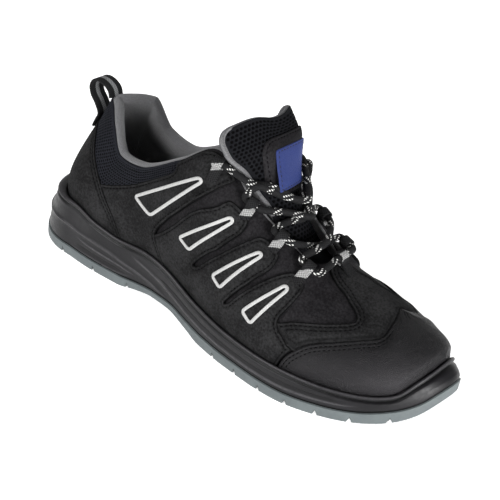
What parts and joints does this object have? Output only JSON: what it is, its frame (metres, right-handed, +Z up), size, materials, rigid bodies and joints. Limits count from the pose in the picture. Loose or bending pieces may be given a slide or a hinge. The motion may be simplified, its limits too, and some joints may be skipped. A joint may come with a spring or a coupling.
{
  "type": "safety shoe",
  "caption": "Low lace-up safety shoe for the right foot: hollow leather upper with a scuff cap, padded tongue and collar, webbing lace loops and a moulded two-layer grooved sole.",
  "frame": {"origin": "on the floor plane under the tread, at the middle of the shoe's length and width", "axes": "+X from heel to toe, +Y towards the inner side of the foot, +Z up"},
  "size_m": [0.3, 0.1024, 0.1355],
  "materials": {
    "leather": "black nubuck, matt with fine grain",
    "cap": "dark grey coated scuff leather, pebbled, low sheen",
    "midsole": "charcoal moulded foam, satin skin",
    "outsole": "pale grey moulded rubber, satin",
    "lining": "grey padded knit",
    "fabric": "black woven and mesh cloth",
    "webbing": "grey flecked webbing",
    "label": "blue woven patch"
  },
  "bodies": {
    "root": {"outsole": "outsole", "midsole": "midsole", "insole": "lining", "upper": "leather", "toe_cap": "cap", "vamp_overlay": "leather", "heel_counter": "leather", "rear_quarter_lateral": "leather", "rear_quarter_medial": "leather", "eyestay_lateral": "leather", "eyestay_medial": "leather", "tongue": "fabric", "tongue_facing": "leather", "tongue_label": "label", "lace_loop_lateral_1": "webbing", "lace_loop_lateral_2": "webbing", "lace_loop_lateral_3": "webbing", "lace_loop_lateral_4": "webbing", "lace_loop_medial_1": "webbing", "lace_loop_medial_2": "webbing", "lace_loop_medial_3": "webbing", "lace_loop_medial_4": "webbing", "lace_loop_front": "webbing", "lace": "fabric", "pull_loop": "fabric"}
  },
  "joints": []
}
